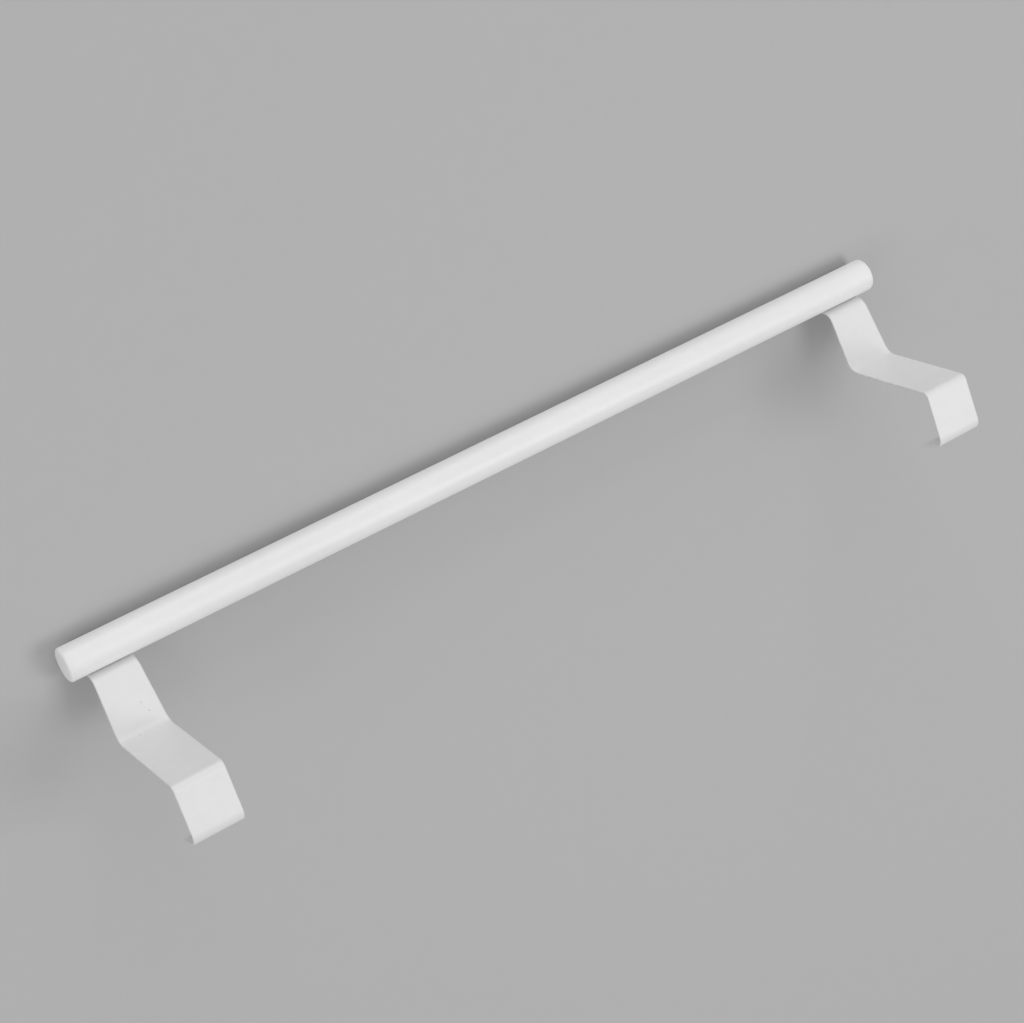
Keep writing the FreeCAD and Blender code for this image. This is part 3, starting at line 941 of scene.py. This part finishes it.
@dataclass
class Rail:
    """The bar: a coated round tube with a domed cap in each end."""

    axis: tuple[float, float]
    tube_ends: tuple[float, float]
    hook_places: tuple[float, ...]
    tube_material: bpy.types.Material
    cap_material: bpy.types.Material
    radius: float = 11.1 * MM
    wall: float = 1.0 * MM
    cap_face: float = 3.2 * MM
    cap_round: float = 2.2 * MM
    cap_dome: float = 0.5 * MM
    spigot_length: float = 9.0 * MM
    spigot_wall: float = 1.3 * MM
    spigot_gap: float = 0.05 * MM
    spigot_lead: float = 0.5 * MM
    spigot_round: float = 0.2 * MM
    lead_bow: float = 0.15 * MM
    hollow_round: float = 0.4 * MM
    joint_ease: float = 0.08 * MM
    hole_radius: float = 3.05 * MM
    segments: int = 128
    hole_cells: int = 4
    row_step: float = 6.0 * MM

    def _rows(self, block: float) -> Array:
        """Places of the tube's rings along X, closer together at the ends and round the holes.

        Args:
            block: Half the side of a hole's block of cells.

        Returns:
            The places.
        """
        low, high = self.tube_ends
        ends = self.joint_ease * np.array((0.0, 0.3, 0.65, 1.0, 4.0))
        marks = [low + ends, high - ends]
        reach = 3 * self.hole_cells
        bare = [low + ends[-1]]
        for middle in self.hook_places:
            marks.append(middle + block / self.hole_cells * np.arange(-reach, reach + 1))
            bare += [marks[-1][0], marks[-1][-1]]
        bare.append(high - ends[-1])
        for start, stop in zip(bare[::2], bare[1::2]):
            count = max(2, int((stop - start) / self.row_step))
            marks.append(np.linspace(start, stop, count + 1)[1:-1])
        return np.sort(np.concatenate(marks))

    def build_tube(self) -> bpy.types.Object:
        """Makes the tube.

        Two skins of rings, of the outer and the inner radius, share their rows. The outer skin's last
        rings shrink by the joint's ease. Round each hole the grid is bent in the plan view (x, y), where
        y = radius * sin(angle from the lowest line), so the hole is a straight round bore.

        Returns:
            The piece.
        """
        turn = (np.arange(self.segments) / self.segments - 0.5) * TURN
        middle_column = self.segments // 2
        edge_turn = self.hole_cells * TURN / self.segments
        block = self.radius * math.sin(edge_turn)
        rows = self._rows(block)
        low, high = self.tube_ends
        from_end = np.minimum(rows - low, high - rows)
        lack = np.clip(1.0 - from_end / self.joint_ease, 0.0, 1.0)
        ease = self.joint_ease * (1.0 - np.sqrt(1.0 - lack**2))
        hole_rows = [int(np.argmin(np.abs(rows - middle))) for middle in self.hook_places]

        skins = []
        for radius in (self.radius, self.radius - self.wall):
            x, angle = np.broadcast_arrays(rows[:, None], turn[None, :])
            x, angle = x.copy(), angle.copy()
            y = radius * np.sin(angle)
            skin_block = radius * math.sin(edge_turn)
            for middle in self.hook_places:
                # The block is square in angle and x together only on the outer skin, so x is scaled.
                scale = skin_block / block
                wide = (x - middle) * scale
                moved_y, moved_x = punch(y, wide, skin_block, 3.0 * skin_block, self.hole_radius)
                square = np.maximum(np.abs(wide), np.abs(y))
                near = (square < 3.0 * skin_block - 1e-9) & (np.cos(angle) > 0)
                t = np.clip((square / skin_block - 1.0) / 2.0, 0.0, 1.0)
                grown = moved_x * ((1.0 - t) + t / scale)
                x = np.where(near, middle + grown, x)
                angle = np.where(near, np.arcsin(np.clip(moved_y / radius, -1.0, 1.0)), angle)
            r = radius - (ease[:, None] if radius == self.radius else 0.0)
            y = self.axis[0] + r * np.sin(angle)
            z = self.axis[1] - r * np.cos(angle)
            skins.append(np.stack((x, y, z), axis=-1).reshape(-1, 3))
        points = np.concatenate(skins)

        count = len(rows) * self.segments
        quads = grid_quads(len(rows), self.segments, ring=True)
        keep = np.ones(quads.shape[:2], dtype=bool)
        bores = []
        for row in hole_rows:
            keep &= outside_block(quads, row, middle_column, self.hole_cells, self.segments)
            ring = block_ring(row, middle_column, self.hole_cells, self.segments, True)
            bores.append(band_quads(ring, ring + count))
        skin = quads[keep]
        first = np.arange(self.segments)
        last = first + (len(rows) - 1) * self.segments
        faces = [skin, (skin + count)[:, ::-1], band_quads(first + count, first)]
        faces += [band_quads(last, last + count), *bores]
        coat = np.zeros(2 * count)
        coat[:count] = np.repeat(lack * 0.6, self.segments)
        piece = make_piece("rail_skin", points, faces, self.tube_material, coat)
        return attach(piece, "rail_tube")

    def build_cap(self, side: Side) -> bpy.types.Object:
        """Makes an end cap.

        The outline, turned about X, runs from the middle of the domed face over the rounded rim, along
        the flush side, down the shoulder, along the spigot and back inside it. The dome falls with the
        square of the distance from the axis.

        Args:
            side: Which end.

        Returns:
            The piece.
        """
        face, rim = self.cap_face, self.cap_round
        flat = self.radius - rim
        dome_r = np.linspace(0.0, flat, 14)
        dome = np.stack((dome_r, face - self.cap_dome * (dome_r / self.radius) ** 2), axis=-1)
        drop = face - dome[-1, 1]
        corner = arc((flat, face - rim), rim, 90.0, 0.0, 16)[1:]
        corner[:, 1] -= drop * (corner[:, 1] - (face - rim)) / rim
        ease = self.joint_ease
        spigot = self.radius - self.wall - self.spigot_gap
        hollow = spigot - self.spigot_wall
        length = self.spigot_length
        rest = np.array(
            [
                (self.radius, ease * 2.0),
                (self.radius - 0.35 * ease, 0.3 * ease),
                (self.radius - ease, 0.0),
                (spigot + self.spigot_round, 0.0),
                (spigot, 0.0),
                (spigot, -length + self.spigot_lead),
                (spigot - self.lead_bow, -length + self.spigot_round),
                (spigot - self.spigot_lead, -length),
                (hollow + self.spigot_round, -length),
                (hollow, -length + self.spigot_round),
                (hollow, -self.hollow_round),
                (hollow - self.hollow_round, 0.0),
                (hollow / 2.0, 0.0),
                (0.0, 0.0),
            ]
        )
        profile = np.concatenate((dome, corner, rest))
        points, faces = revolve(profile[::-1], self.segments)
        end = self.tube_ends[0] if side is Side.LEFT else self.tube_ends[1]
        sign = float(side.value)
        # Z of the turned outline becomes X, and the turn keeps the faces' way round.
        world = np.stack(
            (
                end + sign * points[:, 2],
                self.axis[0] + sign * points[:, 0],
                self.axis[1] + points[:, 1],
            ),
            axis=-1,
        )
        piece = make_piece(f"cap_{side.word}", world, faces, self.cap_material)
        return attach(piece, f"end_cap_{side.word}")


# --- Fasteners ---


@dataclass
class SeatScrew:
    """A button-head screw with a hexagon socket and a cut thread, seen only from below."""

    side: Side
    place: tuple[float, float, float]
    material: bpy.types.Material
    radius: float = 2.0 * MM
    length: float = 9.5 * MM
    point: float = 0.5 * MM
    head_radius: float = 3.8 * MM
    head_height: float = 2.2 * MM
    head_round: float = 1.5 * MM
    socket_width: float = 2.5 * MM
    socket_depth: float = 1.3 * MM
    pitch: float = 0.7 * MM
    thread_depth: float = 0.32 * MM
    segments: int = 96

    def build(self) -> bpy.types.Object:
        """Makes the screw.

        The outline runs from the middle of the socket's floor up its wall, over the domed head, under
        it and up the shank to the tip, and is turned about Z. In the socket the circle becomes a
        hexagon: the radius is the flat's distance over cos(angle from the nearest flat). On the thread
        the radius falls by depth * |2 * frac(z / pitch - angle / turn) - 1|.

        Returns:
            The piece.
        """
        flat = self.socket_width / 2.0
        corner = flat * 1.155
        low = -self.head_height
        floor = low + self.socket_depth
        chamfer, head_edge = 0.15 * MM, 0.08 * MM
        socket = np.array(
            [
                (0.0, floor + 0.25 * MM),
                (flat * 0.5, floor + 0.1 * MM),
                (flat * 0.96, floor),
                (flat, floor - 0.04 * MM),
                (flat, (floor + low) / 2.0),
                (flat, low + chamfer),
                (corner + chamfer, low),
            ]
        )
        crown_centre = (self.head_radius - self.head_round, low + self.head_round)
        crown = arc(crown_centre, self.head_round, -90.0, 0.0, 14)
        under = np.array(
            [
                (self.head_radius, -head_edge),
                (self.head_radius - head_edge, 0.0),
                (self.radius + chamfer, 0.0),
                (self.radius, chamfer),
            ]
        )
        thread_z = np.arange(0.5 * MM, self.length - self.point, self.pitch / 8.0)
        thread = np.stack((np.full(len(thread_z), self.radius), thread_z), axis=-1)
        tip = np.array([(self.radius - self.point, self.length), (0.0, self.length)])
        profile = np.concatenate((socket, crown, under, thread, tip))
        hexed = len(socket) - 1
        first_thread = len(socket) + len(crown) + len(under)
        last_thread = first_thread + len(thread)

        def shape(row: Array, angle: Array) -> Array:
            """The factor on the radius for the socket's hexagon and the thread's groove."""
            sector = (angle + TURN / 12.0) % (TURN / 6.0) - TURN / 12.0
            hexagon = np.where((row >= 2) & (row < hexed), 1.0 / np.cos(sector), 1.0)
            phase = (profile[row, 1] / self.pitch - angle / TURN) % 1.0
            groove = self.thread_depth / self.radius * np.abs(2.0 * phase - 1.0)
            cut = (row >= first_thread) & (row < last_thread)
            return hexagon * np.where(cut, 1.0 - groove, 1.0)

        points, faces = revolve(profile, self.segments, shape)
        piece = make_piece(f"screw_{self.side.word}", points + np.array(self.place), faces, self.material)
        return attach(piece, f"seat_screw_{self.side.word}")


@dataclass
class ThreadedInsert:
    """A knurled sleeve set in the tube's wall, with the collar that grips the wall from inside."""

    side: Side
    place: tuple[float, float, float]
    collar_foot: float
    material: bpy.types.Material
    bore: float = 2.05 * MM
    sleeve: float = 3.0 * MM
    collar: float = 4.2 * MM
    collar_height: float = 2.2 * MM
    collar_gap: float = 0.03 * MM
    length: float = 9.0 * MM
    knurls: int = 24
    knurl_depth: float = 0.1 * MM
    segments: int = 144

    def build(self) -> bpy.types.Object:
        """Makes the insert.

        A closed outline is turned about Z: up the outside, over the swollen collar, and down the bore.
        On the sleeve above the collar the radius falls by depth * (1 - |cos(knurls * angle / 2)|).

        Returns:
            The piece.
        """
        foot, top = self.collar_foot, self.collar_foot + self.collar_height
        ease, corner = 0.2 * MM, 0.05 * MM
        swell = (top - foot) / 2.0
        angle = np.radians(np.linspace(-90.0, 90.0, 14))
        bulge = self.collar - self.sleeve
        collar = np.stack(
            (self.sleeve + bulge * np.cos(angle), foot + swell + swell * np.sin(angle)), axis=-1
        )
        knurl = np.stack(
            (np.full(8, self.sleeve), np.linspace(top + ease, self.length - ease, 8)), axis=-1
        )
        profile = np.concatenate(
            (
                [(self.bore + ease, 0.0), (self.sleeve - corner, 0.0), (self.sleeve, corner)],
                collar,
                knurl,
                [
                    (self.sleeve - ease, self.length),
                    (self.bore + ease, self.length),
                    (self.bore, self.length - ease),
                    (self.bore, ease),
                ],
            )
        )
        start = 3 + len(collar)

        def shape(row: Array, turn: Array) -> Array:
            """The factor on the radius for the knurls."""
            cut = self.knurl_depth / self.sleeve * (1.0 - np.abs(np.cos(self.knurls * turn / 2.0)))
            return np.where((row > start) & (row < start + len(knurl) - 1), 1.0 - cut, 1.0)

        points, faces = revolve(profile, self.segments, shape, ring=True)
        name = f"insert_{self.side.word}"
        piece = make_piece(name, points + np.array(self.place), faces, self.material)
        return attach(piece, f"threaded_insert_{self.side.word}")


# --- Studio ---


def direction(azimuth: float, elevation: float) -> Vector:
    """The way from the object to a place round it.

    Args:
        azimuth: Degrees round Z, from -Y towards +X.
        elevation: Degrees above the horizon.

    Returns:
        A unit vector.
    """
    a, e = math.radians(azimuth), math.radians(elevation)
    return Vector((math.sin(a) * math.cos(e), -math.cos(a) * math.cos(e), math.sin(e)))


@dataclass(frozen=True)
class Softbox:
    """One square area light that faces the object."""

    name: str
    azimuth: float
    elevation: float
    distance: float
    side: float
    watts: float

    def build(self, aim: Vector) -> None:
        """Adds the light.

        Args:
            aim: The point it faces.
        """
        light = bpy.data.lights.new(self.name, "AREA")
        light.shape = "SQUARE"
        light.size = self.side
        light.energy = self.watts
        lamp = bpy.data.objects.new(self.name, light)
        bpy.context.scene.collection.objects.link(lamp)
        way = direction(self.azimuth, self.elevation)
        lamp.location = aim + way * self.distance
        lamp.rotation_euler = way.to_track_quat("Z", "Y").to_euler()


@dataclass
class Studio:
    """The floor, the lights and the camera."""

    floor_z: float
    aim: Vector = field(default_factory=lambda: Vector((6.4, -17.6, -84.8)) * MM)
    azimuth: float = 44.05
    elevation: float = 55.6
    roll: float = 114.73
    distance: float = 1.5289
    lens: float = 84.87
    sensor: float = 36.0
    clip: tuple[float, float] = (0.05, 30.0)
    floor_side: float = 12.0
    room_light: float = 0.52
    softboxes: tuple[Softbox, ...] = (
        Softbox("key", -6.0, 8.0, 3.0, 2.2, 34.0),
        Softbox("overhead", -112.0, 66.0, 2.2, 1.0, 12.0),
        Softbox("end", 95.0, 28.0, 2.4, 1.6, 10.0),
    )

    def build_floor(self) -> None:
        """Lays the plain floor under the object's lowest point."""
        half = self.floor_side / 2.0
        side = np.array((-half, half))
        x, y = np.meshgrid(side, side)
        points = np.stack((x, y, np.full((2, 2), self.floor_z)), axis=-1).reshape(-1, 3)
        material = PaleFloor("pale_floor").material()
        floor = make_piece("floor", points, [grid_quads(2, 2).reshape(-1, 4)], material)
        floor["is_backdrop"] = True

    def build_lights(self) -> None:
        """Adds the even room light and the soft boxes."""
        world = bpy.data.worlds.new("room")
        bpy.context.scene.world = world
        world.use_nodes = True
        background = world.node_tree.nodes["Background"]
        background.inputs["Color"].default_value = grey(1.0)
        background.inputs["Strength"].default_value = self.room_light
        for softbox in self.softboxes:
            softbox.build(self.aim)

    def build_camera(self) -> None:
        """Adds the camera, looking at the aim point and rolled about its own line of sight."""
        data = bpy.data.cameras.new("camera")
        data.lens = self.lens
        data.sensor_width = self.sensor
        data.clip_start, data.clip_end = self.clip
        camera = bpy.data.objects.new("camera", data)
        bpy.context.scene.collection.objects.link(camera)
        back = direction(self.azimuth, self.elevation)
        right = Vector((0.0, 0.0, 1.0)).cross(back).normalized()
        up = back.cross(right)
        upright = Matrix((right, up, back)).transposed()
        turn = Matrix.Rotation(math.radians(self.roll), 3, "Z")
        camera.matrix_world = (upright @ turn).to_4x4()
        camera.location = self.aim + back * self.distance
        bpy.context.scene.camera = camera

    def build(self) -> None:
        """Builds the whole studio, and shows plain colours as they are."""
        self.build_floor()
        self.build_lights()
        self.build_camera()
        bpy.context.scene.view_settings.view_transform = "Standard"


# --- The whole rack ---


@dataclass
class TowelRack:
    """Every piece of the rack, each in the place its node gives."""

    coat: PowderCoat = PowderCoat("white_powder_coat")
    # Painted light: the bar gets a lighter copy of the same white coat (0.90 against 0.84 on the hooks),
    # which stands in for the brighter light that falls on the bar.
    bar_coat_painted_lighter: PowderCoat = PowderCoat("white_powder_coat_bar_painted_lighter", white=0.90)
    chipped_coat: PowderCoat = PowderCoat(
        "white_powder_coat_chipped",
        chips=(
            Chip(272.0 * MM, -10.4 * MM, -80.0 * MM, 0.50 * MM),
            Chip(273.9 * MM, -13.2 * MM, -81.1 * MM, 0.26 * MM),
            Chip(274.3 * MM, -16.4 * MM, -82.2 * MM, 0.36 * MM),
            Chip(283.9 * MM, -1.7 * MM, -73.7 * MM, 0.42 * MM),
            Chip(271.6 * MM, -1.9 * MM, -74.2 * MM, 0.28 * MM),
        ),
    )
    zinc: ZincPlate = ZincPlate("zinc_plate")

    @staticmethod
    def centre(node: str) -> Vector:
        """The middle of a node's box."""
        low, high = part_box(node)
        return (low + high) / 2.0

    def build(self) -> None:
        """Builds the tube, and then each side's cap, hook, screw and insert."""
        white = self.coat.material()
        # Painted light: the lighter copy of the coat, used on the tube and both caps.
        bar_white_painted_lighter = self.bar_coat_painted_lighter.material()
        chipped = self.chipped_coat.material()
        zinc = self.zinc.material()
        low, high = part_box("rail_tube")
        axis = ((low.y + high.y) / 2.0, low.z + Rail.radius)
        places = tuple(self.centre(f"hook_bracket_{side.word}").x for side in Side)
        rail = Rail(axis, (low.x, high.x), places, bar_white_painted_lighter, bar_white_painted_lighter)
        rail.build_tube()
        inside = rail.radius - rail.wall
        wall_height = rail.radius - math.sqrt(inside**2 - ThreadedInsert.collar**2)
        collar_foot = wall_height + ThreadedInsert.collar_gap
        for side, x in zip(Side, places):
            rail.build_cap(side)
            BentStrip(side, x, axis, chipped if side is Side.RIGHT else white).build()
            screw = self.centre(f"seat_screw_{side.word}")
            under_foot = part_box(f"hook_bracket_{side.word}")[0].z
            SeatScrew(side, (screw.x, screw.y, under_foot), zinc).build()
            ThreadedInsert(side, (x, axis[0], low.z), collar_foot, zinc).build()


def main() -> None:
    """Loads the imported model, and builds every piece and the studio."""
    logging.basicConfig(level=logging.INFO, format="%(name)s: %(message)s")
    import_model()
    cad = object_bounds()
    TowelRack().build()
    Studio(floor_z=cad[0].z).build()


if __name__ == "__main__":
    main()
